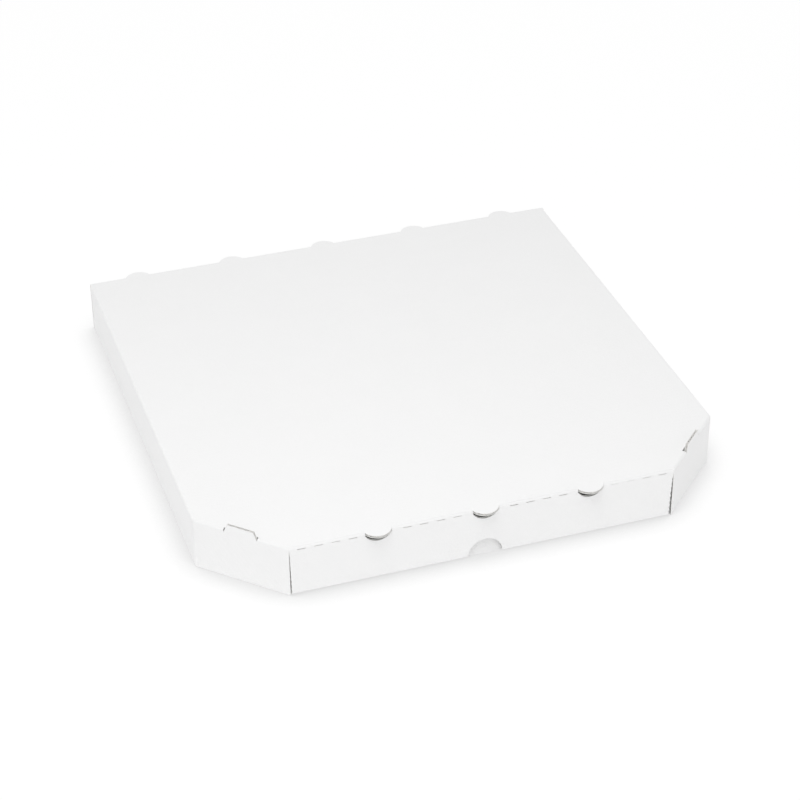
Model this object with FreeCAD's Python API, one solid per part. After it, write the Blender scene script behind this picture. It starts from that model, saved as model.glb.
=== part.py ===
# Pizza box: one die-cut sheet of white fluted board, folded into a tray with a hinged lid.
#
# Millimetres, +Z up. The box lies closed on its base with its front towards -Y.
# The origin is the middle of the footprint, on the underside of the base.
#
# The sheet turns on two of its creases, so it is in three rigid groups of panels:
#   tray        base, back wall, side walls, slanted front corners with their tongues, inner front wall
#   lid         top panel with its half-round lobes and the tuck flaps under its edges
#   front_flap  the flap that hangs from the lid's perforated front crease

import FreeCAD, Part
import math
import os

from FreeCAD import Vector

# The board and the closed box
BOARD = 1.6                   # thickness of the fluted board
BOX_WIDTH = 320.0             # outside, side to side
BOX_DEPTH = 320.0             # outside, front crease to back crease
BOX_HEIGHT = 33.2             # underside of the base to the lid's top face
CORNER_CUT = 44.0             # how far each front corner is cut back along both of its sides
FOLD_RADIUS = 1.2             # outside radius of a fold

# Lobes: half-round tongues that stay in the lid's plane where the creases fold away from them
LOBE_CHORD = 15.5             # width of a lobe at its crease
FRONT_LOBE_DEPTH = 5.0        # how far a front lobe stands out past its crease
BACK_LOBE_DEPTH = 4.5         # the same for a back lobe
LOBE_PITCH = 64.0             # spacing along the front and back creases
LOBE_END_MARGIN = 10.0        # least distance from a lobe to the end of its crease
LOBE_SIDE_CLEARANCE = 0.3     # between a lobe and each side of its notch
NOTCH_DEPTH = 6.9             # from the lid's top face to the bottom of a lobe's notch

# Perforation of the front crease
SLIT_LENGTH = 5.0
SLIT_PITCH = 10.0
SLIT_WIDTH = 0.5

# Front flap
FLAP_FLOOR_GAP = 1.5          # under the hanging flap
FLAP_END_GAP = 0.1            # at each end of the flap, at its crease
FLAP_TAPER = 0.8              # how much narrower each end is at the bottom edge
THUMB_RADIUS = 10.3           # half-round thumb notch in the flap's bottom edge

# Inner front wall and the tray's corner tabs
FRONT_WALL_HEIGHT = 22.0
FRONT_WALL_GAP = 0.4          # between the inner front wall and the flap that hangs before it
TAB_LENGTH = 35.0
TAB_HEIGHT = 20.0

# Tongues on the slanted corners, which stand up through slots in the lid's edge
TONGUE_FOOT = 20.0            # width at the lid's top face
TONGUE_TOP = 17.0
TONGUE_RISE = 3.6             # height above the lid's top face
SLOT_GAP = 1.0                # behind the tongue
SLOT_END_GAP = 1.5            # at each end of the tongue

# Tuck flaps under the lid's edges
SIDE_TUCK_DEPTH = 20.0
SIDE_TUCK_GAP = 0.4           # between a side wall and the tuck flap inside it
SIDE_TUCK_SETBACK = 8.0       # from each end of the side wall to the flap
CORNER_TUCK_DEPTH = 15.0
CORNER_TUCK_SETBACK = 10.0    # from each end of the slanted wall to the flap
TUCK_CHAMFER = 8.0            # cut off the lower corners of each tuck flap

# Worked out from the sizes above
HALF_WIDTH = BOX_WIDTH / 2
HALF_DEPTH = BOX_DEPTH / 2
WALL_TOP = BOX_HEIGHT - BOARD                        # top of the walls that the lid covers
FLAP_HALF = HALF_WIDTH - CORNER_CUT                  # from the middle to the front bevel corner
SLANT_LENGTH = CORNER_CUT * math.sqrt(2)
SIDE_LENGTH = BOX_DEPTH - CORNER_CUT
FRONT_WALL_FACE = -HALF_DEPTH + BOARD + FRONT_WALL_GAP
SPARE = 5.0                                          # how far a cutting tool reaches past the board
NEAR = FOLD_RADIUS / 4                               # how far off a plane an edge still counts as on it


def prism(points, low, high):
    """Upright solid on a closed outline in plan, from one height to another."""
    corners = [Vector(x, y, low) for x, y in points]
    face = Part.Face(Part.makePolygon(corners + corners[:1]))
    return face.extrude(Vector(0, 0, high - low))


def plate(points, face_y, thickness):
    """Upright plate on a closed outline in x and z, reaching from face_y towards +Y."""
    corners = [Vector(x, face_y, z) for x, z in points]
    face = Part.Face(Part.makePolygon(corners + corners[:1]))
    return face.extrude(Vector(0, thickness, 0))


def block(x, y, z):
    """Box between three pairs of limits."""
    size = [high - low for low, high in (x, y, z)]
    return Part.makeBox(*size, Vector(x[0], y[0], z[0]))


def fuse_all(first, others):
    """One solid from touching pieces of the sheet, without the seams between them."""
    return first.fuse(others).removeSplitter()


def footprint(inset=0.0):
    """Corners of the box's outline in plan, moved inwards by a distance."""
    side = HALF_WIDTH - inset
    end = HALF_DEPTH - inset
    # The two lines of a 45 degree corner move along each other by this share of the inset.
    cut = CORNER_CUT - inset * (2 - math.sqrt(2))
    return [
        (side, end),
        (-side, end),
        (-side, cut - end),
        (cut - side, -end),
        (side - cut, -end),
        (side, cut - end),
    ]


def edges_where(shape, test):
    """Edges whose middle point passes a test."""
    chosen = []
    for edge in shape.Edges:
        middle = edge.valueAt((edge.FirstParameter + edge.LastParameter) / 2)
        if test(middle):
            chosen.append(edge)
    return chosen


def is_outer(point):
    """Whether a point lies on a side wall's or a slanted wall's outer face, or on its rounded corner."""
    slant = abs(point.x) - point.y - (HALF_WIDTH + HALF_DEPTH - CORNER_CUT)
    return abs(abs(point.x) - HALF_WIDTH) < NEAR or abs(slant) < NEAR


def round_corner_folds(shape):
    """Rounds the upright folds between the side walls and the slanted walls."""
    def on_fold(point):
        return abs(abs(point.x) - HALF_WIDTH) < NEAR and abs(point.y - (CORNER_CUT - HALF_DEPTH)) < NEAR
    return shape.makeFillet(FOLD_RADIUS, edges_where(shape, on_fold))


def on_slant(shape, side):
    """Carries a piece drawn behind the XZ plane to a slanted front wall."""
    shape = shape.copy()
    shape.rotate(Vector(0, 0, 0), Vector(0, 0, 1), side * 45)
    shape.translate(Vector(side * (HALF_WIDTH - CORNER_CUT / 2), CORNER_CUT / 2 - HALF_DEPTH, 0))
    return shape


def on_side(shape, side):
    """Carries a piece drawn behind the XZ plane to a side wall."""
    shape = shape.copy()
    shape.rotate(Vector(0, 0, 0), Vector(0, 0, 1), side * 90)
    shape.translate(Vector(side * HALF_WIDTH, CORNER_CUT / 2, 0))
    return shape


def lobe_places(half_crease):
    """Middles of the lobes along a crease of a given half length, one of them in its middle."""
    room = half_crease - LOBE_END_MARGIN - LOBE_CHORD / 2
    each_side = max(0, int(room / LOBE_PITCH))
    return [LOBE_PITCH * number for number in range(-each_side, each_side + 1)]


def lobe(x, side):
    """Half-round lobe of the lid, past the front crease (side -1) or the back crease (side 1)."""
    crease = side * HALF_DEPTH
    depth = BACK_LOBE_DEPTH if side > 0 else FRONT_LOBE_DEPTH
    radius = (LOBE_CHORD ** 2 / 4 + depth ** 2) / (2 * depth)
    disc = Part.makeCylinder(radius, BOARD, Vector(x, crease + side * (depth - radius), WALL_TOP))
    reach = sorted((crease, crease + side * (depth + SPARE)))
    segment = disc.common(block((x - BOX_WIDTH, x + BOX_WIDTH), reach, (WALL_TOP, BOX_HEIGHT)))
    neck_ends = sorted((crease, crease - side * BOARD))
    neck = block((x - LOBE_CHORD / 2, x + LOBE_CHORD / 2), neck_ends, (WALL_TOP, BOX_HEIGHT))
    return segment.fuse(neck)


def lobe_notch(x, side):
    """What is cut from the top of an upright panel for a lobe: straight past the lid, then an arc."""
    half = LOBE_CHORD / 2 + LOBE_SIDE_CLEARANCE
    shoulder = WALL_TOP - LOBE_SIDE_CLEARANCE
    bottom = BOX_HEIGHT - NOTCH_DEPTH
    face_y = HALF_DEPTH - BOARD - SPARE if side > 0 else -HALF_DEPTH - SPARE
    left_top = Vector(x - half, face_y, BOX_HEIGHT + SPARE)
    left = Vector(x - half, face_y, shoulder)
    lowest = Vector(x, face_y, bottom)
    right = Vector(x + half, face_y, shoulder)
    right_top = Vector(x + half, face_y, BOX_HEIGHT + SPARE)
    outline = Part.Wire([
        Part.makeLine(left_top, left),
        Part.Arc(left, lowest, right).toShape(),
        Part.makeLine(right, right_top),
        Part.makeLine(right_top, left_top),
    ])
    return Part.Face(outline).extrude(Vector(0, BOARD + 2 * SPARE, 0))


def slit_places():
    """Middles of the perforation's slits, spread over each stretch of crease beside the lobes."""
    lobes = lobe_places(FLAP_HALF)
    starts = [-FLAP_HALF] + [x + LOBE_CHORD / 2 for x in lobes]
    ends = [x - LOBE_CHORD / 2 for x in lobes] + [FLAP_HALF]
    places = []
    for start, end in zip(starts, ends):
        count = round((end - start - SLIT_LENGTH) / SLIT_PITCH)
        first = (start + end) / 2 - SLIT_PITCH * (count - 1) / 2
        places += [first + SLIT_PITCH * number for number in range(count)]
    return places


def make_base_and_walls():
    """Base with the side walls, slanted walls and back wall; the front is left open for the flap."""
    outside = round_corner_folds(prism(footprint(), 0, WALL_TOP))
    inside = prism(footprint(BOARD), BOARD, WALL_TOP + SPARE)
    shell = outside.cut(inside)
    upper_back = block((-HALF_WIDTH, HALF_WIDTH), (HALF_DEPTH - BOARD, HALF_DEPTH), (WALL_TOP, BOX_HEIGHT))
    shell = fuse_all(shell, [upper_back])
    flap_room = block(
        (-FLAP_HALF - FLAP_END_GAP, FLAP_HALF + FLAP_END_GAP),
        (-HALF_DEPTH - SPARE, FRONT_WALL_FACE),
        (-SPARE, BOX_HEIGHT + SPARE))
    return shell.cut(flap_room)


def make_front_wall():
    """Low inner front wall, folded up from the base behind the flap, ending in the slanted walls."""
    wall = block(
        (-HALF_WIDTH, HALF_WIDTH),
        (FRONT_WALL_FACE, FRONT_WALL_FACE + BOARD),
        (0, FRONT_WALL_HEIGHT))
    return wall.common(prism(footprint(BOARD / 2), 0, BOX_HEIGHT))


def make_front_tab(side):
    """Tab of a slanted wall, turned in behind the inner front wall; its outer end lies in the wall."""
    start = FLAP_HALF - TAB_LENGTH
    tab = block(
        sorted((side * start, side * HALF_WIDTH)),
        (FRONT_WALL_FACE + BOARD, FRONT_WALL_FACE + 2 * BOARD),
        (BOARD, BOARD + TAB_HEIGHT))
    return tab.common(prism(footprint(BOARD / 2), 0, BOX_HEIGHT))


def make_rear_tab(side):
    """Tab of a side wall, turned in along the back wall below its notches."""
    outer = HALF_WIDTH - BOARD
    return block(
        sorted((side * (outer - TAB_LENGTH), side * outer)),
        (HALF_DEPTH - 2 * BOARD, HALF_DEPTH - BOARD),
        (BOARD, BOARD + TAB_HEIGHT))


def make_tongue(side):
    """Tapered tongue on top of a slanted wall."""
    foot = TONGUE_FOOT / 2
    top = TONGUE_TOP / 2
    outline = [(-foot, WALL_TOP), (-foot, BOX_HEIGHT), (-top, BOX_HEIGHT + TONGUE_RISE),
               (top, BOX_HEIGHT + TONGUE_RISE), (foot, BOX_HEIGHT), (foot, WALL_TOP)]
    return on_slant(plate(outline, 0, BOARD), side)


def make_tray():
    """The part of the sheet that stays put: base, walls, tabs and tongues."""
    parts = [make_front_wall()]
    for side in (-1, 1):
        parts += [make_tongue(side), make_front_tab(side), make_rear_tab(side)]
    tray = fuse_all(make_base_and_walls(), parts)

    def on_outer_fold(point):
        under = abs(point.z) < NEAR
        over = abs(point.z - BOX_HEIGHT) < NEAR
        behind = abs(point.y - HALF_DEPTH) < NEAR
        front = abs(point.y - FRONT_WALL_FACE) < NEAR and abs(point.x) < FLAP_HALF
        return (under and (is_outer(point) or behind or front)) or (over and behind)

    tray = tray.makeFillet(FOLD_RADIUS, edges_where(tray, on_outer_fold))
    for x in lobe_places(HALF_WIDTH):
        tray = tray.cut(lobe_notch(x, 1))
    return tray


def make_tuck_flap(length, depth, gap):
    """Flap folded down under the lid's edge, drawn behind the XZ plane with its lower corners cut."""
    half = length / 2
    low = WALL_TOP - depth
    outline = [(-half, BOX_HEIGHT - FOLD_RADIUS), (-half, low + TUCK_CHAMFER), (-half + TUCK_CHAMFER, low),
               (half - TUCK_CHAMFER, low), (half, low + TUCK_CHAMFER), (half, BOX_HEIGHT - FOLD_RADIUS)]
    return plate(outline, BOARD + gap, BOARD)


def make_tongue_slot(side):
    """Slot in the lid's slanted edge that a tongue stands up through."""
    half = TONGUE_FOOT / 2 + SLOT_END_GAP
    slot = block((-half, half), (-SPARE, BOARD + SLOT_GAP), (WALL_TOP - SPARE, BOX_HEIGHT + SPARE))
    return on_slant(slot, side)


def make_lid():
    """Top panel over the walls, with its lobes, slots and tuck flaps."""
    panel = round_corner_folds(prism(footprint(), WALL_TOP, BOX_HEIGHT))
    between_creases = block(
        (-HALF_WIDTH, HALF_WIDTH),
        (BOARD - HALF_DEPTH, HALF_DEPTH - BOARD),
        (WALL_TOP, BOX_HEIGHT))
    panel = panel.common(between_creases)

    def on_top_fold(point):
        return abs(point.z - BOX_HEIGHT) < NEAR and is_outer(point)

    panel = panel.makeFillet(FOLD_RADIUS, edges_where(panel, on_top_fold))
    pieces = [lobe(x, 1) for x in lobe_places(HALF_WIDTH)]
    pieces += [lobe(x, -1) for x in lobe_places(FLAP_HALF)]
    side_tuck = make_tuck_flap(SIDE_LENGTH - 2 * SIDE_TUCK_SETBACK, SIDE_TUCK_DEPTH, SIDE_TUCK_GAP)
    corner_tuck = make_tuck_flap(SLANT_LENGTH - 2 * CORNER_TUCK_SETBACK, CORNER_TUCK_DEPTH, SLOT_GAP)
    for side in (-1, 1):
        pieces += [on_side(side_tuck, side), on_slant(corner_tuck, side)]
    lid = fuse_all(panel, pieces)
    for side in (-1, 1):
        lid = lid.cut(make_tongue_slot(side))
    return lid


def make_front_flap():
    """Flap in front of the inner front wall, hung from the lid's perforated crease."""
    face = -HALF_DEPTH
    top = FLAP_HALF - FLAP_END_GAP
    bottom = top - FLAP_TAPER
    outline = [(-top, BOX_HEIGHT), (-bottom, FLAP_FLOOR_GAP), (bottom, FLAP_FLOOR_GAP), (top, BOX_HEIGHT)]
    flap = plate(outline, face, BOARD)

    def on_crease(point):
        return abs(point.z - BOX_HEIGHT) < NEAR and abs(point.y - face) < NEAR

    flap = flap.makeFillet(FOLD_RADIUS, edges_where(flap, on_crease))
    thumb = Part.makeCylinder(
        THUMB_RADIUS, BOARD + 2 * SPARE, Vector(0, face - SPARE, FLAP_FLOOR_GAP), Vector(0, 1, 0))
    cuts = [thumb]
    cuts += [lobe_notch(x, -1) for x in lobe_places(FLAP_HALF)]
    for x in slit_places():
        cuts.append(block(
            (x - SLIT_LENGTH / 2, x + SLIT_LENGTH / 2),
            (face - SPARE, face + BOARD + SPARE),
            (WALL_TOP - SLIT_WIDTH, WALL_TOP)))
    return flap.cut(cuts)


def export(name, shape):
    """Writes one solid to its own file."""
    solids = shape.Solids
    if len(solids) != 1 or not shape.isValid():
        raise ValueError(f"{name} has {len(solids)} solids, valid {shape.isValid()}")
    solids[0].exportStep(f"parts/{name}.step")
    print(f"{name}: {solids[0].Volume / 1000:.1f} cm3, {len(solids[0].Faces)} faces")


os.makedirs("parts", exist_ok=True)
export("tray", make_tray())
export("lid", make_lid())
export("front_flap", make_front_flap())
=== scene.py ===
"""White pizza box: liners, fluted edges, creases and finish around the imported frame, in metres."""

import math

import bmesh
import bpy
from bpy.props import FloatProperty, FloatVectorProperty, PointerProperty
from mathutils import Matrix, Vector, noise


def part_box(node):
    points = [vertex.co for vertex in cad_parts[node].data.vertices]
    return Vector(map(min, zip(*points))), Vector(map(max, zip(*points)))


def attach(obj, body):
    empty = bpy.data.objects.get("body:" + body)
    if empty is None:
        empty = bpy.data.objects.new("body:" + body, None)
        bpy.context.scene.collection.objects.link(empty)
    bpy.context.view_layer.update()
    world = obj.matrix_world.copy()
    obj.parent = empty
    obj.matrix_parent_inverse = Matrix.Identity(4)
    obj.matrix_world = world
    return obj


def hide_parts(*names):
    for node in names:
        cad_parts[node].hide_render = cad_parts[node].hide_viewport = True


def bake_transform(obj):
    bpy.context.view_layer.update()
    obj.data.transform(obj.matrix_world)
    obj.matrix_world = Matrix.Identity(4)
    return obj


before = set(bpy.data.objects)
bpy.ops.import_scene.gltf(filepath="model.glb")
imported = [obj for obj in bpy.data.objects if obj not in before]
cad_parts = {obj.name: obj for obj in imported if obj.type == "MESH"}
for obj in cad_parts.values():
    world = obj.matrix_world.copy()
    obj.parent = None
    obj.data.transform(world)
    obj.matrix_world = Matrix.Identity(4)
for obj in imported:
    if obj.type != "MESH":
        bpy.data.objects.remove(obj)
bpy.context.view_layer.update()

bl_info = {
    "name": "Pizza box",
    "version": (1, 0, 0),
    "blender": (4, 5, 0),
    "location": "View3D > Sidebar > Pizza box",
    "description": "Dresses a folded pizza box in white fluted board",
    "category": "Object",
}

MM = 0.001

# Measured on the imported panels
TRAY_LOW, TRAY_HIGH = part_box("tray")
LID_LOW, LID_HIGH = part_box("lid")
FLAP_LOW, FLAP_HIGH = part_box("front_flap")
BOARD = FLAP_HIGH.y - FLAP_LOW.y
HALF_WIDTH = TRAY_HIGH.x
HALF_DEPTH = TRAY_HIGH.y
LID_TOP = LID_HIGH.z
WALL_TOP = LID_TOP - BOARD
TONGUE_TOP = TRAY_HIGH.z
TUCK_LOW = LID_LOW.z
FRONT_LOBE_DEPTH = -LID_LOW.y - HALF_DEPTH
BACK_LOBE_DEPTH = LID_HIGH.y - HALF_DEPTH
BEVEL_END = -TRAY_LOW.y                              # front end of a slanted wall

# Details of the sheet's cut
CORNER_CUT = 44 * MM
LOBE_CHORD = 15.5 * MM
LOBE_PITCH = 64 * MM
LOBE_GAP = 0.3 * MM
NOTCH_DEPTH = 6.9 * MM
FRONT_LOBES = (-1, 0, 1)
BACK_LOBES = (-2, -1, 0, 1, 2)
FRONT_WALL_FACE = -HALF_DEPTH + BOARD + 0.4 * MM
FRONT_WALL_HEIGHT = 22 * MM
TAB_LENGTH = 35 * MM
TAB_HEIGHT = 20 * MM
TAB_LIFT = 0.1 * MM                                  # above the base
FRONT_TAB_GAP = 0.5 * MM                             # between a tab's fold and the wall it turns from
BACK_TAB_GAP = 0.3 * MM
SLOT_HALF = 10.9 * MM
SLOT_DEPTH = 2.6 * MM
LEFT_SLOT_DEPTH = 1.85 * MM
TONGUE_ROOT_HALF = 10.7 * MM                         # where the tongue leaves the wall
TONGUE_FOOT_HALF = 9.9 * MM                          # level with the lid
TONGUE_TOP_HALF = 8.5 * MM
LEFT_TAPER = 0.5 * MM                                # how much shorter the flap is at its foot, on that end
RIGHT_TAPER = 1.3 * MM
THUMB_RADIUS = 10.3 * MM
SLIT_LENGTH = 5 * MM
SLIT_PITCH = 10 * MM
SLIT_WIDTH = 0.5 * MM
SIDE_TUCK_FACE = HALF_WIDTH - BOARD - 0.4 * MM
TUCK_CHAMFER = 8 * MM
SIDE_TUCK_SETBACK = 8 * MM
CORNER_TUCK_SETBACK = 10 * MM
CORNER_TUCK_LOW = WALL_TOP - 15 * MM
RIGHT_WEAR = 0.8 * MM                                # depth of the crushed flutes at the flap's ends
LEFT_WEAR = 0.35 * MM
WALL_END_FACE = 6 * MM                               # stretch of a slanted wall whose end flutes are drawn

# How the sheet has bent and settled
EDGE_BAND = 6 * MM                                   # beside the box's edges, where the lid stays flat
SAG_RAMP = 20 * MM                                   # over which the sag sets in
LID_SAG = 0.35 * MM
LID_WAVE = 0.12 * MM
WAVE_LENGTH = 90 * MM
WALL_BOW = 0.35 * MM
THUMB_DENT = 1.4 * MM                                # of the inner front wall, behind the thumb notch
THUMB_DENT_HALF = 38 * MM
SPRUNG_SHUT = 0.25                                   # share of a slit's width by which it has closed
SPRUNG_SPREAD = 0.4
SPRUNG_CHANGE = 15 * MM                              # length along the crease over which that changes
NEARLY_SHUT = 0.75

# Fineness of the mesh
FOLD_STEPS = 8
CURVE_STEPS = 18
THUMB_STEPS = 24
LEVELS = 4                                           # into which upright faces are cut
EDGE_CUTS = (1 * MM, 2.5 * MM, 5 * MM)               # inwards from the lid's folded edges
FOLD_ANGLE = 0.1                                     # faces that meet at more are folded there
SHARP_ANGLE = math.radians(35)

# Scales of the paper's patterns
FIBRE_CLUMP = 1.2 * MM
CLOUD_SIZE = 25 * MM

# Studio
KEY_PLACE = (-0.18, -0.38, 0.86)
KEY_SIZE = 0.5
FLOOR_RADIUS = 6.0
FLOOR_DROP = 0.02 * MM
# How far the floor's painted contact shadow reaches
PAINTED_SHADOW_REACH = 24 * MM
SKY_LEVEL = 1.8                                      # share of the sky's strength at the horizon
SKY_RISE = -0.88                                     # what the share gains towards the top
SKY_RIGHT = -0.04                                    # and towards the right
FLOOR_WHITE = 1.04
FLOOR_PAINTED_SHADE = -1.1                                   # what full painted contact shadow adds to that
# Darkest level of the floor's painted contact shadow
FLOOR_PAINTED_DARKEST = 0.8

CREASE_REACH = 2 * BOARD                             # how far a crease strip reaches onto each panel
CENTRE = Vector((0, 0, LID_TOP / 2))
TINY = 0.01 * MM
FLUTE_INSET = 0.1 * MM                               # from a cut edge to the waves behind it
OUTER, INNER, CUT = range(3)


def plan_slant(side, along, inset=0.0):
    """Plan point on a slanted front wall: along from its middle to the side wall, inset from its face."""
    x = HALF_WIDTH - CORNER_CUT / 2 + (along - inset) / math.sqrt(2)
    y = CORNER_CUT / 2 - HALF_DEPTH + (along + inset) / math.sqrt(2)
    return side * x, y


def slant_end(inset=0.0):
    """How far along a slanted wall the side wall begins, for faces inset from the outer ones."""
    return CORNER_CUT / math.sqrt(2) - inset * math.tan(math.pi / 8)


SLANT_START = (BEVEL_END - HALF_DEPTH + CORNER_CUT / 2) * -math.sqrt(2)


def arc(centre, radius, start, end, steps):
    """Points on an arc from one angle to another, in radians."""
    angles = [start + (end - start) * k / steps for k in range(steps + 1)]
    return [(centre[0] + radius * math.cos(a), centre[1] + radius * math.sin(a)) for a in angles]


def lobe_arc(middle, side):
    """A lobe's edge in plan: right end to left end at the back (side 1), mirrored for the front."""
    depth = BACK_LOBE_DEPTH if side > 0 else FRONT_LOBE_DEPTH
    radius = (LOBE_CHORD ** 2 / 4 + depth ** 2) / (2 * depth)
    half_angle = math.asin(LOBE_CHORD / 2 / radius)
    centre = (0, HALF_DEPTH + depth - radius)
    points = arc(centre, radius, math.pi / 2 - half_angle, math.pi / 2 + half_angle, CURVE_STEPS)
    return [(middle + side * x, side * y) for x, y in points]


def notch_circle():
    """Radius and centre height of the arc cut into an upright panel below a lobe."""
    half = LOBE_CHORD / 2 + LOBE_GAP
    shoulder = WALL_TOP - LOBE_GAP
    bottom = LID_TOP - NOTCH_DEPTH
    rise = shoulder - bottom
    radius = (half ** 2 + rise ** 2) / (2 * rise)
    return radius, bottom + radius


def notch_half(height):
    """Half the width of a lobe's notch at a height."""
    radius, centre = notch_circle()
    shoulder = WALL_TOP - LOBE_GAP
    return math.sqrt(radius ** 2 - (centre - min(height, shoulder)) ** 2)


def notch_arc(middle, height):
    """A notch's edge from its right end at a height down and up to its left end, as x and z."""
    radius, centre = notch_circle()
    half_angle = math.asin(notch_half(height) / radius)
    return [(middle + x, z) for x, z in
            arc((0, centre), radius, half_angle - math.pi / 2, -half_angle - math.pi / 2, CURVE_STEPS)]


def newell(points):
    """Unit normal of a closed outline."""
    total = Vector((0, 0, 0))
    for a, b in zip(points, points[1:] + points[:1]):
        total += a.cross(b)
    return total.normalized()


def turned(points, outwards):
    """The outline as Vectors, ordered so that its normal points away from the box's middle or to it."""
    points = [Vector(p) for p in points]
    middle = sum(points, Vector()) / len(points)
    away = newell(points).dot(middle - CENTRE) > 0
    return points if away == outwards else points[::-1]


class BoardMesh:
    """Collects the liners and the fluting of one folded piece of board."""

    def __init__(self, sizes):
        self.sizes = sizes
        self.bm = bmesh.new()

    def liner(self, outlines, outwards=True, fold=0.0, lines=()):
        """Paper liner over flat faces that share folds; fold is how far each face is rounded there."""
        bm = bmesh.new()
        corners = {}
        for outline in outlines:
            verts = []
            for point in turned(outline, outwards):
                key = tuple(round(c / TINY) for c in point)
                if key not in corners:
                    corners[key] = bm.verts.new(point)
                verts.append(corners[key])
            bm.faces.new(verts)
        bm.normal_update()
        folds = [e for e in bm.edges if len(e.link_faces) == 2 and e.calc_face_angle() > FOLD_ANGLE]
        if fold and folds:
            bmesh.ops.bevel(bm, geom=folds, offset=fold, offset_type="OFFSET", segments=FOLD_STEPS,
                            profile=0.5, affect="EDGES", clamp_overlap=True)
        self.cut_grid(bm, lines)
        bmesh.ops.triangulate(bm, faces=[f for f in bm.faces if len(f.verts) > 4])
        bm.normal_update()
        for face in bm.faces:
            face.material_index = OUTER if outwards else INNER
        self.thicken(bm)
        self.take(bm)

    def cut_grid(self, bm, lines):
        """Cuts the faces along upright planes and levels, so that they can bend."""
        cell = self.sizes.cell
        steps = int(HALF_WIDTH / cell)
        planes = [(Vector((k * cell, 0, 0)), Vector((1, 0, 0))) for k in range(-steps, steps + 1)]
        planes += [(Vector((0, k * cell, 0)), Vector((0, 1, 0))) for k in range(-steps, steps + 1)]
        planes += [(Vector((0, 0, LID_TOP * k / LEVELS)), Vector((0, 0, 1))) for k in range(1, LEVELS)]
        planes += [(Vector(place), Vector(normal)) for place, normal in lines]
        for place, normal in planes:
            bmesh.ops.bisect_plane(bm, geom=bm.verts[:] + bm.edges[:] + bm.faces[:], dist=TINY / 10,
                                   plane_co=place, plane_no=normal)

    def thicken(self, bm):
        """Gives a surface the liner's thickness, into the board, with its rim as cut paper."""
        faces = bm.faces[:]
        rims = [e.link_loops[0] for e in bm.edges if len(e.link_faces) == 1]
        rims = [(loop.vert, loop.link_loop_next.vert) for loop in rims]
        backs = {}
        for vert in bm.verts[:]:
            depth = self.sizes.liner * vert.calc_shell_factor()
            backs[vert] = bm.verts.new(vert.co - vert.normal * depth)
        for face in faces:
            back = bm.faces.new([backs[v] for v in reversed(face.verts)])
            back.material_index = face.material_index
        for a, b in rims:
            bm.faces.new((b, a, backs[a], backs[b])).material_index = CUT

    def fluting(self, outline, is_cut, outwards=True):
        """Waves of paper between the liners along the cut edges of a flat face."""
        points = turned(outline, outwards)
        normal = newell(points)
        count = len(points)
        cut = [is_cut(points[k], points[(k + 1) % count]) for k in range(count)]
        for start in range(count):
            if cut[start] and not cut[start - 1]:
                chain = [points[start]]
                k = start
                while cut[k % count] and k < start + count:
                    chain.append(points[(k + 1) % count])
                    k += 1
                self.flute_chain(chain, normal)

    def flute_chain(self, chain, normal):
        """Waves of paper along one run of cut edge, between inward lines that are mitred at its corners."""
        sizes = self.sizes
        ways = [(b - a).normalized() for a, b in zip(chain, chain[1:])]
        inward = [normal.cross(way) for way in ways]
        mitres = [inward[0]]
        for a, b in zip(inward, inward[1:]):
            mitres.append((a + b) / max(0.4, 1 + a.dot(b)))
        mitres.append(inward[-1])
        pitch = sizes.flute_pitch
        reach = sizes.flute_reach
        rows = []
        for k, way in enumerate(ways):
            length = (chain[k + 1] - chain[k]).length
            rate = abs(across(way, normal))
            steps = max(1, math.ceil(length / min(4 * MM, pitch / 10 / max(rate, 1e-6))))
            for j in range(steps + (k == len(ways) - 1)):
                share = j / steps
                rows.append((chain[k].lerp(chain[k + 1], share), mitres[k].lerp(mitres[k + 1], share)))
        rate = max(abs(across(way, normal)) for way in inward)
        depths = max(1, math.ceil(reach / (pitch / 8) * rate)) if rate > 0.05 else 1
        swing = BOARD / 2 - sizes.liner - sizes.medium / 2
        sheets = [[], []]
        for place, way in rows:
            for sheet, shift in zip(sheets, (-0.5, 0.5)):
                line = []
                for d in range(depths + 1):
                    base = place + way * (FLUTE_INSET + reach * d / depths)
                    wave = math.sin(math.tau * across(base, normal) / pitch)
                    line.append(self.bm.verts.new(
                        base - normal * (BOARD / 2 + swing * wave + shift * sizes.medium)))
                sheet.append(line)
        near, far = sheets
        quads = []
        for i in range(len(rows) - 1):
            for d in range(depths):
                quads.append((near[i][d], near[i][d + 1], near[i + 1][d + 1], near[i + 1][d]))
                quads.append((far[i][d], far[i + 1][d], far[i + 1][d + 1], far[i][d + 1]))
            quads.append((near[i][0], near[i + 1][0], far[i + 1][0], far[i][0]))
            quads.append((near[i + 1][-1], near[i][-1], far[i][-1], far[i + 1][-1]))
        for i, flip in ((0, False), (-1, True)):
            for d in range(depths):
                quad = (near[i][d], far[i][d], far[i][d + 1], near[i][d + 1])
                quads.append(quad[::-1] if flip else quad)
        for quad in quads:
            self.bm.faces.new(quad).material_index = CUT

    def board(self, outline, is_cut):
        """Flat board: a liner on each side and fluting along its cut edges; outlined on its outer face."""
        points = turned(outline, True)
        normal = newell(points)
        back = [p - normal * BOARD for p in points]
        self.liner([points])
        self.liner_as_is(back)
        self.fluting(points, is_cut)

    def liner_as_is(self, points):
        """Liner on the inner side of a board, whose outline is ordered as on the outer side."""
        inside = [Vector(p) for p in points[::-1]]
        bm = bmesh.new()
        bm.faces.new([bm.verts.new(p) for p in inside])
        self.cut_grid(bm, ())
        bmesh.ops.triangulate(bm, faces=[f for f in bm.faces if len(f.verts) > 4])
        bm.normal_update()
        for face in bm.faces:
            face.material_index = INNER
        self.thicken(bm)
        self.take(bm)

    def take(self, bm):
        """Moves the faces of another mesh into this one."""
        mesh = bpy.data.meshes.new("part")
        bm.to_mesh(mesh)
        bm.free()
        self.bm.from_mesh(mesh)
        bpy.data.meshes.remove(mesh)

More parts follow.
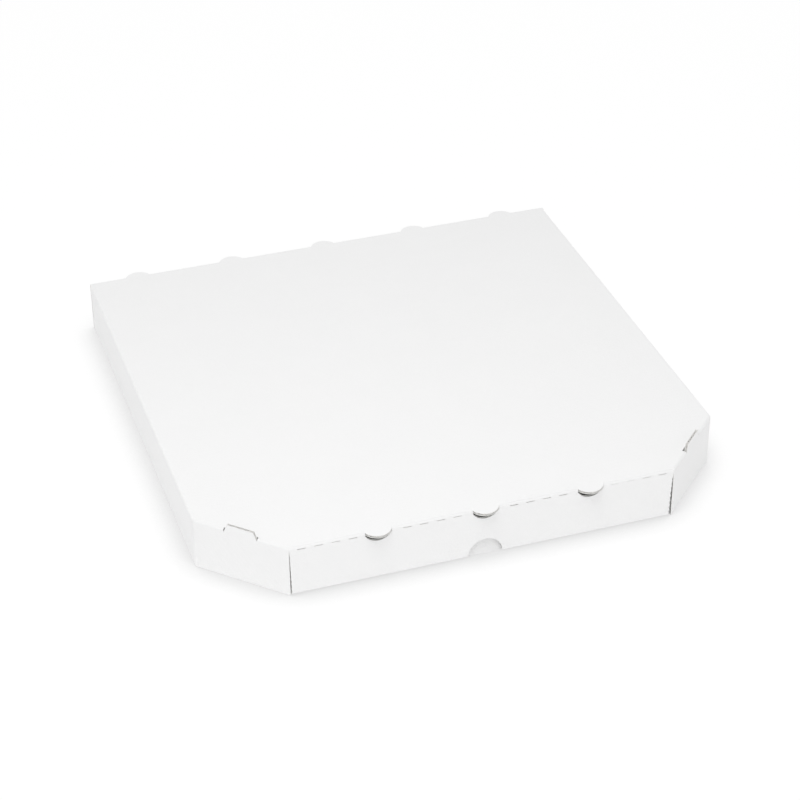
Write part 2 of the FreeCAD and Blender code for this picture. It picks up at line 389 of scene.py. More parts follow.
    def make(self, name):
        """The finished object, settled and with its three papers."""
        if not self.bm.faces:
            raise RuntimeError(f"{name} has no faces")
        for vert in self.bm.verts:
            vert.co = settled(vert.co)
        for face in self.bm.faces:
            face.smooth = True
        mesh = bpy.data.meshes.new(name)
        self.bm.to_mesh(mesh)
        self.bm.free()
        mesh.set_sharp_from_angle(angle=SHARP_ANGLE)
        for material in board_materials():
            mesh.materials.append(material)
        piece = bpy.data.objects.new(name, mesh)
        bpy.context.scene.collection.objects.link(piece)
        weighted = piece.modifiers.new("flat faces", "WEIGHTED_NORMAL")
        weighted.keep_sharp = True
        return piece


def across(vector, normal):
    """How far a point or a direction lies across the flutes, which run along X in the flat sheet."""
    return vector.y + normal.y * vector.z


def settled(point):
    """Where a point of the neat box lies once the sheet has bent and settled a little."""
    x, y, z = point
    over_x = max(0.0, 1 - (x / HALF_WIDTH) ** 2)
    over_y = max(0.0, 1 - (y / HALF_DEPTH) ** 2)
    wave = noise.noise(Vector((x, y, 0)) / WAVE_LENGTH)
    margin = min(HALF_WIDTH - abs(x), HALF_DEPTH - abs(y)) - EDGE_BAND
    if margin > 0 and z > WALL_TOP - TINY:
        # The lid sags a little between its edges
        z -= (LID_SAG * over_x * over_y + LID_WAVE * (1 + wave)) * min(1.0, margin / SAG_RAMP)
    if abs(x) > HALF_WIDTH - EDGE_BAND:
        # The side walls bow inwards at half their height
        belly = math.sin(math.pi * min(1.0, max(0.0, z / LID_TOP)))
        x -= math.copysign(WALL_BOW * over_y * belly * (1 + 0.5 * wave), x)
    if abs(x) < THUMB_DENT_HALF and FRONT_WALL_FACE - TINY < y < FRONT_WALL_FACE + 2 * BOARD:
        # Thumbs have pressed the inner front wall in behind the thumb notch
        rise = math.sin(math.pi * min(1, z / FRONT_WALL_HEIGHT))
        y += THUMB_DENT * rise * math.cos(x / THUMB_DENT_HALF * math.pi / 2) ** 2
    return Vector((x, y, z))


def upright(side_points):
    """Both walls of a mirrored pair, from one drawn on the right."""
    return [[(side * x, y, z) for x, y, z in side_points] for side in (1, -1)]


def side_wall(inset, low, y_end):
    """Right side wall's face, inset from its outer one."""
    x = HALF_WIDTH - inset
    y = plan_slant(1, slant_end(inset), inset)[1]
    return [(x, y, low), (x, y_end, low), (x, y_end, WALL_TOP), (x, y, WALL_TOP)]


def slanted_wall(inset, low, start):
    """Right slanted wall's face with its tongue, from its front end to the side wall."""
    def at(along, z):
        return (*plan_slant(1, along, inset), z)
    end = slant_end(inset)
    return [at(start, low), at(end, low), at(end, WALL_TOP),
            at(TONGUE_ROOT_HALF, WALL_TOP), at(TONGUE_FOOT_HALF, LID_TOP),
            at(TONGUE_TOP_HALF, TONGUE_TOP), at(-TONGUE_TOP_HALF, TONGUE_TOP),
            at(-TONGUE_FOOT_HALF, LID_TOP), at(-TONGUE_ROOT_HALF, WALL_TOP), at(start, WALL_TOP)]


def notched_panel(y, half_low, half_high, low, lobes, bottom=()):
    """Upright panel with a notch below each lobe, up to where its crease strip begins."""
    high = LID_TOP - CREASE_REACH
    points = [(-half_low, y, low)]
    points += [(x, y, z) for x, z in bottom]
    points += [(half_low, y, low), (half_high, y, high)]
    for number in reversed(lobes):
        points += [(x, y, z) for x, z in notch_arc(number * LOBE_PITCH, high)]
    points.append((-half_high, y, high))
    return points


def both(z_low):
    """Test for an edge that lies wholly above a height."""
    return lambda a, b: a.z > z_low - TINY and b.z > z_low - TINY


def notch_or_end(low):
    """Test for a notched panel's cut edges: all but its bottom and what its crease strip covers."""
    high = LID_TOP - CREASE_REACH

    def is_cut(a, b):
        level = abs(a.z - b.z) < TINY
        return not (level and (abs(a.z - high) < TINY or abs(a.z - low) < TINY))
    return is_cut


def tray_mesh(sizes):
    """Base, walls with their tongues, inner front wall and corner tabs."""
    tray = BoardMesh(sizes)
    front_x, front_y = plan_slant(1, SLANT_START)
    outer_end = slant_end()
    corner = plan_slant(1, outer_end)
    wall_end = HALF_DEPTH - BOARD
    base = [(HALF_WIDTH, wall_end), (HALF_WIDTH, HALF_DEPTH), (-HALF_WIDTH, HALF_DEPTH),
            (-HALF_WIDTH, wall_end), (-corner[0], corner[1]), (-front_x, front_y),
            (-front_x, FRONT_WALL_FACE), (front_x, FRONT_WALL_FACE), (front_x, front_y), corner]
    back = notched_panel(HALF_DEPTH, HALF_WIDTH, HALF_WIDTH, 0, BACK_LOBES)
    front = [(-front_x, FRONT_WALL_FACE, 0), (front_x, FRONT_WALL_FACE, 0),
             (front_x, FRONT_WALL_FACE, FRONT_WALL_HEIGHT), (-front_x, FRONT_WALL_FACE, FRONT_WALL_HEIGHT)]
    sides = upright(side_wall(0, 0, wall_end))
    slants = upright(slanted_wall(0, 0, SLANT_START))
    tray.liner([[(x, y, 0) for x, y in base], back, front, *sides, *slants], fold=sizes.fold)

    inner_front = FRONT_WALL_FACE + BOARD
    start = SLANT_START + BOARD
    meet = plan_slant(1, 0, BOARD)
    along_meet = (inner_front - meet[1]) * math.sqrt(2)
    meet_x = plan_slant(1, along_meet, BOARD)[0]
    inner_corner = plan_slant(1, slant_end(BOARD), BOARD)
    side_x = HALF_WIDTH - BOARD
    floor = [(side_x, wall_end), (-side_x, wall_end), (-inner_corner[0], inner_corner[1]),
             (-meet_x, inner_front), (meet_x, inner_front), inner_corner]
    inner_back = notched_panel(wall_end, side_x, side_x, BOARD, BACK_LOBES)
    inner_wall = [(-meet_x, inner_front, BOARD), (meet_x, inner_front, BOARD),
                  (meet_x, inner_front, FRONT_WALL_HEIGHT), (-meet_x, inner_front, FRONT_WALL_HEIGHT)]
    inner_slant = slanted_wall(BOARD, BOARD, along_meet)
    tray.liner([[(x, y, BOARD) for x, y in floor], inner_back, inner_wall,
                *upright(side_wall(BOARD, BOARD, wall_end)), *upright(inner_slant)],
               outwards=False, fold=sizes.inner_fold)

    for wall in sides:
        tray.fluting(wall, both(WALL_TOP))
    for wall in upright(slanted_wall(0, 0, start)):
        tray.fluting(wall, both(WALL_TOP))
    tray.fluting(back, notch_or_end(0))
    tray.fluting(front, both(FRONT_WALL_HEIGHT))
    for wall in upright(wall_end_face(start)):
        tray.fluting(wall, lambda a, b: max(abs(a.x), abs(b.x)) < abs(plan_slant(1, start)[0]) + TINY)

    for side in (-1, 1):
        tray.board(*tab(side * (front_x - TAB_LENGTH), side * (meet_x - FRONT_TAB_GAP), inner_front))
        tray.board(*tab(side * (side_x - TAB_LENGTH), side * (side_x - BACK_TAB_GAP), wall_end))
    return tray


def wall_end_face(start):
    """Last stretch of the right slanted wall at its front end, whose flutes open towards the flap."""
    near = plan_slant(1, start)
    far = plan_slant(1, start + WALL_END_FACE)
    return [(*near, BOARD), (*far, BOARD), (*far, WALL_TOP), (*near, WALL_TOP)]


def tab(start, end, face_y):
    """Outline of a corner tab that is folded at its end, and the test for its cut edges."""
    low, high = BOARD + TAB_LIFT, BOARD + TAB_HEIGHT
    outline = [(start, face_y, low), (end, face_y, low), (end, face_y, high), (start, face_y, high)]
    return outline, lambda a, b: abs(a.x - end) > TINY or abs(b.x - end) > TINY


def lid_outline(inset=0.0):
    """Closed outline of the lid's panel in plan, its side and slanted edges moved in by a distance."""
    crease = HALF_DEPTH - CREASE_REACH
    half = LOBE_CHORD / 2
    right = [plan_slant(1, along, depth) for along, depth in (
        (SLANT_START, inset), (-SLOT_HALF, inset), (-SLOT_HALF, SLOT_DEPTH),
        (SLOT_HALF, SLOT_DEPTH), (SLOT_HALF, inset), (slant_end(inset), inset))]
    points = right + [(HALF_WIDTH - inset, crease)]
    for number in reversed(BACK_LOBES):
        x = number * LOBE_PITCH
        points += [(x + half, crease), *lobe_arc(x, 1), (x - half, crease)]
    points.append((inset - HALF_WIDTH, crease))
    left = [plan_slant(-1, along, depth) for along, depth in (
        (slant_end(inset), inset), (SLOT_HALF, inset), (SLOT_HALF, LEFT_SLOT_DEPTH),
        (-SLOT_HALF, LEFT_SLOT_DEPTH), (-SLOT_HALF, inset), (SLANT_START, inset))]
    points += [*left, (-right[0][0], -crease)]
    for number in FRONT_LOBES:
        x = number * LOBE_PITCH
        points += [(x - half, -crease), *lobe_arc(x, -1), (x + half, -crease)]
    points.append((right[0][0], -crease))
    return points


def slant_depth(point):
    """How far a point lies inside the slanted walls' outer faces."""
    return (HALF_WIDTH + HALF_DEPTH - CORNER_CUT - abs(point.x) + point.y) / math.sqrt(2)


def lid_mesh(sizes):
    """Top panel with its lobes, folded edges and tongue slots, and the tuck flaps below it."""
    lid = BoardMesh(sizes)
    top = [(x, y, LID_TOP) for x, y in lid_outline()]
    corner = plan_slant(1, slant_end())
    runs = [[corner, (HALF_WIDTH, HALF_DEPTH - CREASE_REACH)],
            [plan_slant(1, SLANT_START), plan_slant(1, -SLOT_HALF)],
            [plan_slant(1, SLOT_HALF), corner]]
    skirts = []
    for a, b in runs:
        skirts += upright([(*a, LID_TOP), (*b, LID_TOP), (*b, WALL_TOP), (*a, WALL_TOP)])
    lid.liner([top, *skirts], fold=sizes.fold, lines=edge_lines(sizes))
    lid.liner([[(x, y, WALL_TOP) for x, y in lid_outline(sizes.liner)]], outwards=False)

    def lobe_or_slot(a, b):
        lobe = abs(a.y) > HALF_DEPTH - TINY or abs(b.y) > HALF_DEPTH - TINY
        slot = max(slant_depth(a), slant_depth(b)) > LEFT_SLOT_DEPTH - TINY
        at_corner = abs(a.x) > HALF_WIDTH - CORNER_CUT and max(a.y, b.y) < corner[1]
        return lobe or (slot and at_corner)

    lid.fluting([(x, y, LID_TOP) for x, y in lid_outline(sizes.fold)], lobe_or_slot)
    middle = CORNER_CUT / 2
    reach = HALF_DEPTH - middle - SIDE_TUCK_SETBACK
    side_tuck = tuck_flap(reach, TUCK_LOW, lambda along: (SIDE_TUCK_FACE, middle + along))
    reach = slant_end() - CORNER_TUCK_SETBACK
    corner_tuck = tuck_flap(reach, CORNER_TUCK_LOW, lambda along: plan_slant(1, along, SLOT_DEPTH))
    for flap in upright(side_tuck) + upright(corner_tuck):
        lid.board(flap, lambda a, b: min(a.z, b.z) < WALL_TOP - TINY)
    return lid


def edge_lines(sizes):
    """Extra cuts beside the lid's side edges, where it bends most."""
    places = [HALF_WIDTH - sizes.fold - step for step in EDGE_CUTS]
    return [((side * x, 0, 0), (1, 0, 0)) for x in places for side in (-1, 1)]


def tuck_flap(reach, low, place):
    """Outline of a flap folded down under the lid's edge, with its lower corners cut off."""
    corners = [(-reach, WALL_TOP), (-reach, low + TUCK_CHAMFER), (TUCK_CHAMFER - reach, low),
               (reach - TUCK_CHAMFER, low), (reach, low + TUCK_CHAMFER), (reach, WALL_TOP)]
    return [(*place(along), z) for along, z in corners]


def flap_half(z, taper=RIGHT_TAPER):
    """Half the front flap's width at a height, for the end with that taper."""
    return FLAP_HIGH.x - taper * (LID_TOP - z) / (LID_TOP - FLAP_LOW.z)


def flap_mesh(sizes):
    """Front flap with its notches and the thumb notch, up to its crease strip."""
    flap = BoardMesh(sizes)
    low = FLAP_LOW.z
    thumb = arc((0, low), THUMB_RADIUS, math.pi, 0, THUMB_STEPS)
    high = LID_TOP - CREASE_REACH
    outline = notched_panel(-HALF_DEPTH, flap_half(low), flap_half(high), low, FRONT_LOBES, thumb)
    corner = next(k for k, p in enumerate(outline) if p[0] > 0 and abs(p[2] - high) < TINY)
    right = ragged_end(outline[corner - 1], outline[corner], sizes, seed=3, worn=RIGHT_WEAR)
    outline[0] = (-flap_half(low, LEFT_TAPER), -HALF_DEPTH, low)
    outline[-1] = (-flap_half(high, LEFT_TAPER), -HALF_DEPTH, high)
    ends = [(-x, y, z) for x, y, z in (outline[0], outline[-1])]
    left = [(-x, y, z) for x, y, z in reversed(ragged_end(*ends, sizes, seed=7, worn=LEFT_WEAR))]
    outline = outline[:corner] + right + outline[corner:] + left
    flap.board(outline, lambda a, b: abs(a.z - high) > TINY or abs(b.z - high) > TINY)
    return flap


def ragged_end(low, high, sizes, seed, worn):
    """Points up the flap's right end, where the cut has crushed the flutes into teeth, deepest below."""
    low, high = Vector(low), Vector(high)
    count = int((high.z - low.z) / sizes.flute_pitch * 2)
    points = []
    for k in range(1, count):
        share = (k + 0.3 * noise.noise(Vector((k * 0.7, seed, 0)))) / count
        depth = worn * (1 - 0.6 * share)
        point = low.lerp(high, share)
        point.x -= depth * (k % 2) * (1 + 0.5 * noise.noise(Vector((k * 1.3, seed, 5))))
        points.append(tuple(point))
    return points


def slit_places():
    """Middles of the front crease's slits, spread over each stretch beside the lobes."""
    half = HALF_WIDTH - CORNER_CUT
    lobes = [number * LOBE_PITCH for number in FRONT_LOBES]
    starts = [-half] + [x + LOBE_CHORD / 2 for x in lobes]
    ends = [x - LOBE_CHORD / 2 for x in lobes] + [half]
    places = []
    for start, end in zip(starts, ends):
        count = round((end - start - SLIT_LENGTH) / SLIT_PITCH)
        first = (start + end) / 2 - SLIT_PITCH * (count - 1) / 2
        places += [first + SLIT_PITCH * k for k in range(count)]
    return places


def slit_shut(x):
    """How far a slit's mouth has sprung shut, as a share of its width."""
    lobe_end = LOBE_PITCH + LOBE_CHORD / 2
    if lobe_end < x < lobe_end + 2 * SLIT_PITCH:
        # The two just right of the third lobe are nearly shut
        return NEARLY_SHUT
    return SPRUNG_SHUT + SPRUNG_SPREAD * noise.noise(Vector((x / SPRUNG_CHANGE, 0.5, 0)))


def crease_mesh(sizes, side, lobes, lid_end, wall_end, slits=()):
    """Board bent round the front or back crease, between the lobes, with the slits of its perforation."""
    strip = BoardMesh(sizes)
    edge, reach, fold = HALF_DEPTH, CREASE_REACH, sizes.fold
    slit_low = WALL_TOP - SLIT_WIDTH
    section = [(edge - reach, LID_TOP)]
    section += arc((edge - fold, LID_TOP - fold), fold, math.pi / 2, 0, FOLD_STEPS)
    slit_row = len(section)
    section += [(edge, WALL_TOP), (edge, slit_low), (edge, LID_TOP - reach)]
    section += [(edge - BOARD, LID_TOP - reach), (edge - BOARD, slit_low), (edge - BOARD, WALL_TOP)]
    section.append((edge - reach, WALL_TOP))
    count = len(section)

    def end_x(z, middle):
        if middle is None:
            share = max(0.0, (WALL_TOP - z) / (CREASE_REACH - BOARD))
            return lid_end + (wall_end - lid_end) * min(1.0, share)
        return LOBE_CHORD / 2 if z > WALL_TOP - TINY else notch_half(z)

    middles = [number * LOBE_PITCH for number in lobes]
    stretches = zip([None] + middles, middles + [None])
    for left, right in stretches:
        low = -wall_end if left is None else left + LOBE_CHORD / 2
        high = wall_end if right is None else right - LOBE_CHORD / 2
        inside = [x for x in slits if low < x < high]
        cuts = [x + shift for x in inside for shift in (-SLIT_LENGTH / 2, SLIT_LENGTH / 2)]
        if not cuts:
            steps = max(2, round((high - low) / sizes.cell))
            cuts = [low + (high - low) * k / steps for k in range(1, steps)]
        rows = []
        for k in range(len(cuts) + 2):
            row = []
            for y, z in section:
                if k == 0:
                    x = (left or 0) + (-1 if left is None else 1) * end_x(z, left)
                elif k == len(cuts) + 1:
                    x = (right or 0) + (1 if right is None else -1) * end_x(z, right)
                else:
                    x = cuts[k - 1]
                if abs(z - slit_low) < TINY and y > edge - TINY and 0 < k <= len(cuts) and inside:
                    z += slit_shut(cuts[k - 1]) * SLIT_WIDTH
                row.append(strip.bm.verts.new((x, side * y, z)))
            rows.append(row)
        for k in range(len(rows) - 1):
            is_slit = bool(inside) and k % 2 == 1
            for j in range(count):
                a, b = j, (j + 1) % count
                if is_slit and j in (slit_row, slit_row + 4):
                    continue
                face = strip.bm.faces.new((rows[k][a], rows[k][b], rows[k + 1][b], rows[k + 1][a]))
                face.material_index = OUTER if j < slit_row + 2 else INNER
            if is_slit:
                ring = [slit_row, slit_row + 1, slit_row + 4, slit_row + 5]
                for a, b in ((ring[0], ring[3]), (ring[1], ring[2])):
                    quad = (rows[k][a], rows[k][b], rows[k + 1][b], rows[k + 1][a])
                    strip.bm.faces.new(quad).material_index = CUT
                for row in (rows[k], rows[k + 1]):
                    strip.bm.faces.new([row[j] for j in ring]).material_index = CUT
        for row in (rows[0], rows[-1]):
            strip.bm.faces.new(row).material_index = CUT
    bmesh.ops.recalc_face_normals(strip.bm, faces=strip.bm.faces[:])
    return strip


def linear(code):
    """Linear colour of an sRGB hex value."""
    values = [int(code[k:k + 2], 16) / 255 for k in (1, 3, 5)]
    return tuple(v / 12.92 if v <= 0.04045 else ((v + 0.055) / 1.055) ** 2.4 for v in values)


def add_node(tree, kind, values=None, links=None, **settings):
    """Adds a node with its settings, its fixed inputs and its links."""
    node = tree.nodes.new(kind)
    for name, value in settings.items():
        setattr(node, name, value)
    for socket, value in (values or {}).items():
        node.inputs[socket].default_value = value
    for socket, source in (links or {}).items():
        tree.links.new(source, node.inputs[socket])
    return node


def new_material(name):
    """Empty material with its output node."""
    material = bpy.data.materials.new(name)
    material.use_nodes = True
    material.node_tree.nodes.clear()
    return material, add_node(material.node_tree, "ShaderNodeOutputMaterial")


def paper_material(name, colour, roughness, washboard, fibre, cloud):
    """White paper: matt, with faint clouds, pressed fibres and the ridges of the flutes behind it."""
    finish = bpy.context.scene.box_finish
    pitch = bpy.context.scene.box_board.flute_pitch
    material, output = new_material(name)
    tree = material.node_tree
    place = add_node(tree, "ShaderNodeTexCoord")
    across_flutes = add_node(tree, "ShaderNodeSeparateXYZ", links={0: place.outputs["Object"]})
    facing = add_node(tree, "ShaderNodeSeparateXYZ", links={0: place.outputs["Normal"]})
    turn = add_node(tree, "ShaderNodeMath", operation="MULTIPLY_ADD", links={
        0: facing.outputs["Y"], 1: across_flutes.outputs["Z"], 2: across_flutes.outputs["Y"]})
    phase = add_node(tree, "ShaderNodeMath", {1: math.tau / pitch}, {0: turn.outputs[0]},
                     operation="MULTIPLY")
    ridge = add_node(tree, "ShaderNodeMath", links={0: phase.outputs[0]}, operation="SINE")
    # Fibre clumps are drawn coarser and deeper than real fibres, which wouldn't show
    fibres = add_node(tree, "ShaderNodeTexNoise",
                      {"Scale": 1 / FIBRE_CLUMP, "Detail": 4.0, "Roughness": 0.6},
                      {"Vector": place.outputs["Object"]})
    # Clouds where the pulp lay thicker and thinner
    clouds = add_node(tree, "ShaderNodeTexNoise", {"Scale": 1 / CLOUD_SIZE, "Detail": 3.0},
                      {"Vector": place.outputs["Object"]})
    low = add_node(tree, "ShaderNodeMath", {1: fibre}, {0: fibres.outputs[0]}, operation="MULTIPLY")
    height = add_node(tree, "ShaderNodeMath", {1: washboard}, {0: ridge.outputs[0], 2: low.outputs[0]},
                      operation="MULTIPLY_ADD")
    bump = add_node(tree, "ShaderNodeBump", {"Strength": 1.0, "Distance": 1.0},
                    {"Height": height.outputs[0]})
    dull = [c * (1 - cloud) for c in colour]
    tint = add_node(tree, "ShaderNodeMix", {"A": (*dull, 1), "B": (*colour, 1)},
                    {"Factor": clouds.outputs[0]}, data_type="RGBA")
    rough = add_node(tree, "ShaderNodeMapRange",
                     {"To Min": roughness - 0.06, "To Max": roughness + 0.06},
                     {"Value": fibres.outputs[0]})
    shader = add_node(tree, "ShaderNodeBsdfPrincipled", {"IOR": finish.ior}, {
        "Base Color": tint.outputs["Result"], "Roughness": rough.outputs[0], "Normal": bump.outputs[0]})
    tree.links.new(shader.outputs[0], output.inputs["Surface"])
    return material


def board_materials():
    """The three papers of the board, in the order of OUTER, INNER and CUT."""
    names = ("bleached kraft liner, machine finished", "bleached liner, inner side",
             "fluting paper, cut edge")
    if names[0] not in bpy.data.materials:
        finish = bpy.context.scene.box_finish
        # Clay-sized liner: a smooth white skin with a soft sheen, faintly ridged by the flutes
        paper_material(names[0], finish.outer, roughness=finish.roughness,
                       washboard=finish.washboard, fibre=0.13 * MM, cloud=0.02)
        # The inner liner is unsized: duller, and its fibres show more
        paper_material(names[1], finish.inner, roughness=finish.roughness + 0.15,
                       washboard=finish.washboard, fibre=0.2 * MM, cloud=0.035)
        # Cut edges: soft, fuzzy and a little darker than the faces
        paper_material(names[2], finish.cut, roughness=0.85, washboard=0.0, fibre=0.25 * MM, cloud=0.08)
    return [bpy.data.materials[name] for name in names]


class BoardSizes(bpy.types.PropertyGroup):
    """Make of the board and of its folds."""
    liner: FloatProperty(name="Liner", description="Thickness of each liner", default=0.25 * MM,
                         unit="LENGTH", precision=5)
    medium: FloatProperty(name="Fluting paper", description="Thickness of the waved paper",
                          default=0.18 * MM, unit="LENGTH", precision=5)
    flute_pitch: FloatProperty(name="Flute pitch", description="From one wave to the next",
                               default=3.2 * MM, unit="LENGTH", precision=5)
    flute_reach: FloatProperty(name="Flute reach", description="Depth of the waves drawn behind a cut edge",
                               default=4 * MM, unit="LENGTH", precision=5)
    fold: FloatProperty(name="Fold", description="Outside radius of a folded edge", default=1.2 * MM,
                        unit="LENGTH", precision=5)
    inner_fold: FloatProperty(name="Inner fold", description="Radius of the bead inside a fold",
                              default=0.5 * MM, unit="LENGTH", precision=5)
    cell: FloatProperty(name="Cell", description="Spacing of the cuts that let a panel bend",
                        default=20 * MM, unit="LENGTH", precision=5)


class BoardFinish(bpy.types.PropertyGroup):
    """Colours and surface of the papers."""
    outer: FloatVectorProperty(name="Outer liner", description="Colour of the outside", subtype="COLOR",
                               default=linear("#F6F6F6"))
    inner: FloatVectorProperty(name="Inner liner", description="Colour of the inside", subtype="COLOR",
                               default=linear("#F1F1EF"))
    cut: FloatVectorProperty(name="Cut edge", description="Colour of cut paper", subtype="COLOR",
                             default=linear("#ECEBE8"))
    roughness: FloatProperty(name="Roughness", description="Of the outer liner", default=0.55)
    ior: FloatProperty(name="IOR", description="Of the paper's size and clay", default=1.5)
    washboard: FloatProperty(name="Washboard", description="Height of the ridges over the flutes",
                             default=0.012 * MM, unit="LENGTH", precision=6)


class StudioSettings(bpy.types.PropertyGroup):
    """Camera and light. The camera was fitted to the box's corners."""
    yaw: FloatProperty(name="Yaw", description="Camera's turn from the front", subtype="ANGLE",
                       default=math.radians(18.23))
    pitch: FloatProperty(name="Pitch", description="Camera's downward tilt", subtype="ANGLE",
                         default=math.radians(33.5))
    roll: FloatProperty(name="Roll", description="Camera's roll", subtype="ANGLE",
                        default=math.radians(-0.49))
    distance: FloatProperty(name="Distance", description="From the camera to the box", default=1.4122,
                            unit="LENGTH")
    aim_right: FloatProperty(name="Aim right", description="Aim beside the box's middle", default=-0.00186,
                             unit="LENGTH", precision=5)
    aim_up: FloatProperty(name="Aim up", description="Aim above the box's middle", default=-0.00547,
                          unit="LENGTH", precision=5)
    lens: FloatProperty(name="Lens", description="Focal length in millimetres on a 36 mm sensor",
                        default=100.85)
    sky: FloatProperty(name="Sky", description="Strength of the even light from all round",
                       default=0.617)
    key: FloatProperty(name="Key", description="Power in watts of the soft light above the front",
                       default=2.4)
    # The plain white share carries the painted contact shadow beside the box
    floor: FloatProperty(name="Floor", description="Share of plain white in the floor as seen",
                         default=0.85)


def make_camera(studio):
    """Camera at the fitted angle."""
    sin_yaw, cos_yaw = math.sin(studio.yaw), math.cos(studio.yaw)
    sin_pitch, cos_pitch = math.sin(studio.pitch), math.cos(studio.pitch)
    forward = Vector((sin_yaw * cos_pitch, cos_yaw * cos_pitch, -sin_pitch))
    level = Vector((cos_yaw, -sin_yaw, 0))
    above = level.cross(forward)
    right = level * math.cos(studio.roll) + above * math.sin(studio.roll)
    up = above * math.cos(studio.roll) - level * math.sin(studio.roll)
    camera = bpy.data.objects.new("camera", bpy.data.cameras.new("camera"))
    camera.data.lens = studio.lens
    place = -forward * studio.distance - right * studio.aim_right - up * studio.aim_up
    camera.matrix_world = Matrix((
        (right.x, up.x, -forward.x, place.x),
        (right.y, up.y, -forward.y, place.y),
        (right.z, up.z, -forward.z, place.z),
        (0, 0, 0, 1)))
    bpy.context.scene.collection.objects.link(camera)
    bpy.context.scene.camera = camera


def seen_directly(tree):
    """Socket that is 1 for rays from the camera, and those that gloss and glass send on."""
    path = add_node(tree, "ShaderNodeLightPath")
    gloss = add_node(tree, "ShaderNodeMath", operation="MAXIMUM", links={
        0: path.outputs["Is Camera Ray"], 1: path.outputs["Is Glossy Ray"]})
    glass = add_node(tree, "ShaderNodeMath", operation="MAXIMUM", links={
        0: gloss.outputs[0], 1: path.outputs["Is Transmission Ray"]})
    return glass.outputs[0]


def make_sky(studio):
    """Even white light from all round, which looks plain white itself."""
    world = bpy.data.worlds.new("white studio")
    world.use_nodes = True
    tree = world.node_tree
    tree.nodes.clear()
    # White walls all round light the box's sides a little more than its top
    ray = add_node(tree, "ShaderNodeTexCoord")
    height = add_node(tree, "ShaderNodeSeparateXYZ", links={0: ray.outputs["Generated"]})
    left = add_node(tree, "ShaderNodeMath", {1: SKY_RIGHT * studio.sky, 2: SKY_LEVEL * studio.sky},
                    {0: height.outputs["X"]}, operation="MULTIPLY_ADD")
    level = add_node(tree, "ShaderNodeMath", {1: SKY_RISE * studio.sky},
                     {0: height.outputs["Z"], 2: left.outputs[0]}, operation="MULTIPLY_ADD")
    light = add_node(tree, "ShaderNodeBackground", {"Color": (1, 1, 1, 1)}, {"Strength": level.outputs[0]})
    white = add_node(tree, "ShaderNodeBackground", {"Color": (1, 1, 1, 1), "Strength": 1.0})
    mixed = add_node(tree, "ShaderNodeMixShader", links={
        0: seen_directly(tree), 1: light.outputs[0], 2: white.outputs[0]})
    add_node(tree, "ShaderNodeOutputWorld", links={0: mixed.outputs[0]})
    bpy.context.scene.world = world


def floor_material(studio):
    """Matt white sweep: real shadows stay soft on it, it looks plain white where none falls, and a painted
    contact shadow darkens its white glow beside the box.
    """
    material, output = new_material("white seamless paper")
    tree = material.node_tree
    paper = add_node(tree, "ShaderNodeBsdfDiffuse", {"Color": (*linear("#F4F4F4"), 1)})
    # Painted contact shadow: an ambient-occlusion node darkens the floor's white glow beside what stands on
    # it
    open_share = add_node(tree, "ShaderNodeAmbientOcclusion", {"Distance": PAINTED_SHADOW_REACH}, samples=8)
    closed = add_node(tree, "ShaderNodeMath", {0: 1.0}, {1: open_share.outputs["AO"]}, operation="SUBTRACT")
    squared = add_node(tree, "ShaderNodeMath", links={0: closed.outputs[0], 1: closed.outputs[0]},
                       operation="MULTIPLY")
    level = add_node(tree, "ShaderNodeMath", {1: FLOOR_PAINTED_SHADE, 2: FLOOR_WHITE}, {0: squared.outputs[0]},
                     operation="MULTIPLY_ADD")
    painted_shadow_level = add_node(tree, "ShaderNodeMath", {1: FLOOR_PAINTED_DARKEST}, {0: level.outputs[0]}, operation="MAXIMUM")
    glow_with_painted_shadow = add_node(tree, "ShaderNodeEmission", {"Color": (1, 1, 1, 1)}, {"Strength": painted_shadow_level.outputs[0]})
    share = add_node(tree, "ShaderNodeMath", {1: studio.floor}, {0: seen_directly(tree)},
                     operation="MULTIPLY")
    mixed = add_node(tree, "ShaderNodeMixShader", links={
        0: share.outputs[0], 1: paper.outputs[0], 2: glow_with_painted_shadow.outputs[0]})
    tree.links.new(mixed.outputs[0], output.inputs["Surface"])
    return material


def make_floor(studio):
    """Round white floor just under the box."""
    bm = bmesh.new()
    bmesh.ops.create_circle(bm, cap_ends=True, segments=64, radius=FLOOR_RADIUS)
    mesh = bpy.data.meshes.new("floor")
    bm.to_mesh(mesh)
    bm.free()
    mesh.materials.append(floor_material(studio))
    floor = bpy.data.objects.new("floor", mesh)
    floor.location.z = -FLOOR_DROP
    bpy.context.scene.collection.objects.link(floor)


def make_key(studio):
    """Large soft light above and in front of the box, a little to its left."""
    lamp = bpy.data.lights.new("soft box", "AREA")
    lamp.shape = "DISK"
    lamp.size = KEY_SIZE
    lamp.energy = studio.key
    key = bpy.data.objects.new("soft box", lamp)
    key.location = KEY_PLACE
    key.rotation_mode = "QUATERNION"
    key.rotation_quaternion = (-key.location).to_track_quat("-Z", "Y")
    bpy.context.scene.collection.objects.link(key)


class PIZZABOX_OT_tray(bpy.types.Operator):
    """Build the tray: base, walls, tongues and tabs"""
    bl_idname = "pizzabox.tray"
    bl_label = "Tray"

    def execute(self, context):
        piece = tray_mesh(context.scene.box_board).make("tray_board")
        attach(piece, "tray")
        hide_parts("tray")
        return {"FINISHED"}


class PIZZABOX_OT_lid(bpy.types.Operator):
    """Build the lid with its lobes, slots and tuck flaps"""
    bl_idname = "pizzabox.lid"
    bl_label = "Lid"

    def execute(self, context):
        piece = lid_mesh(context.scene.box_board).make("lid_board")
        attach(piece, "lid")
        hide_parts("lid")
        return {"FINISHED"}


class PIZZABOX_OT_flap(bpy.types.Operator):
    """Build the front flap with its thumb notch"""
    bl_idname = "pizzabox.flap"
    bl_label = "Front flap"

    def execute(self, context):
        piece = flap_mesh(context.scene.box_board).make("front_flap_board")
        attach(piece, "front_flap")
        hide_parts("front_flap")
        return {"FINISHED"}


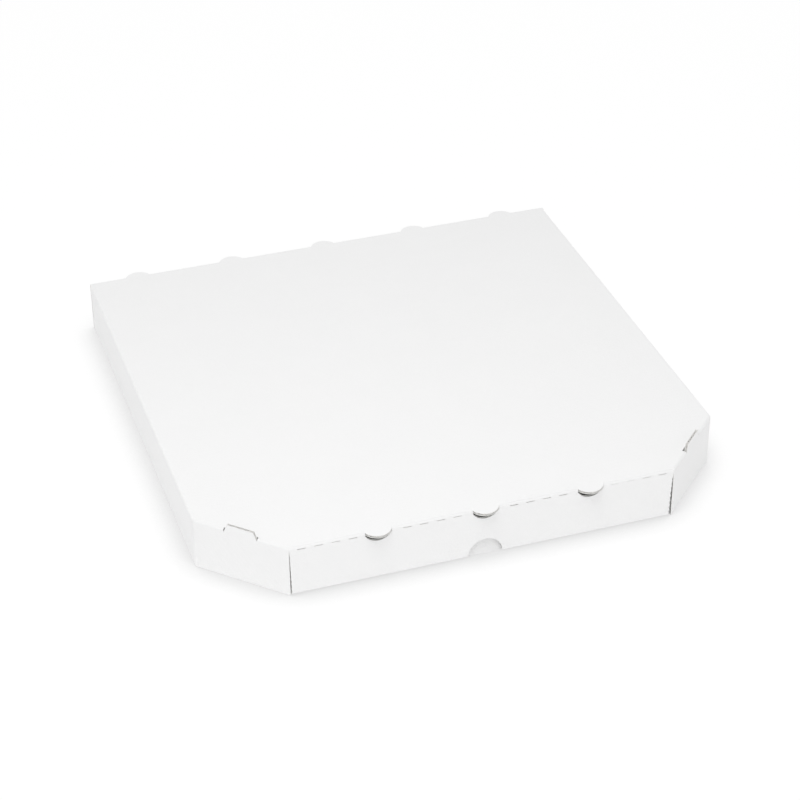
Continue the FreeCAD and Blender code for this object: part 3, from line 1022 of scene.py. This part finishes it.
class PIZZABOX_OT_creases(bpy.types.Operator):
    """Build the bent board of the back crease and of the perforated front crease"""
    bl_idname = "pizzabox.creases"
    bl_label = "Creases"

    def execute(self, context):
        sizes = context.scene.box_board
        back = crease_mesh(sizes, 1, BACK_LOBES, HALF_WIDTH, HALF_WIDTH).make("back_crease")
        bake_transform(back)
        front_x = plan_slant(1, SLANT_START)[0]
        strip = crease_mesh(sizes, -1, FRONT_LOBES, front_x, FLAP_HIGH.x, slit_places())
        front = strip.make("front_crease")
        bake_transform(front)
        return {"FINISHED"}


class PIZZABOX_OT_stage(bpy.types.Operator):
    """Set the camera, the white floor and the soft light"""
    bl_idname = "pizzabox.stage"
    bl_label = "Stage"

    def execute(self, context):
        studio = context.scene.box_studio
        make_camera(studio)
        make_sky(studio)
        make_floor(studio)
        make_key(studio)
        context.scene.view_settings.view_transform = "Standard"
        if context.scene.camera is None:
            raise RuntimeError("the stage has no camera")
        return {"FINISHED"}


class PIZZABOX_PT_panel(bpy.types.Panel):
    """Buttons for the box's pieces and their settings"""
    bl_idname = "PIZZABOX_PT_panel"
    bl_label = "Pizza box"
    bl_space_type = "VIEW_3D"
    bl_region_type = "UI"
    bl_category = "Pizza box"

    def draw(self, context):
        column = self.layout.column()
        for operator in OPERATORS:
            column.operator(operator.bl_idname)
        for group in (context.scene.box_board, context.scene.box_finish, context.scene.box_studio):
            for name in group.__annotations__:
                column.prop(group, name)


OPERATORS = (PIZZABOX_OT_tray, PIZZABOX_OT_lid, PIZZABOX_OT_flap, PIZZABOX_OT_creases, PIZZABOX_OT_stage)
GROUPS = {"box_board": BoardSizes, "box_finish": BoardFinish, "box_studio": StudioSettings}
CLASSES = (*GROUPS.values(), *OPERATORS, PIZZABOX_PT_panel)


def register():
    """Adds the settings, operators and panel."""
    for item in CLASSES:
        bpy.utils.register_class(item)
    for name, group in GROUPS.items():
        setattr(bpy.types.Scene, name, PointerProperty(type=group))


def unregister():
    """Takes them away again."""
    for name in GROUPS:
        delattr(bpy.types.Scene, name)
    for item in reversed(CLASSES):
        bpy.utils.unregister_class(item)


def main():
    """Builds every piece and the stage."""
    register()
    bpy.ops.pizzabox.tray()
    bpy.ops.pizzabox.lid()
    bpy.ops.pizzabox.flap()
    bpy.ops.pizzabox.creases()
    bpy.ops.pizzabox.stage()
    bpy.context.view_layer.update()


if __name__ == "__main__":
    main()
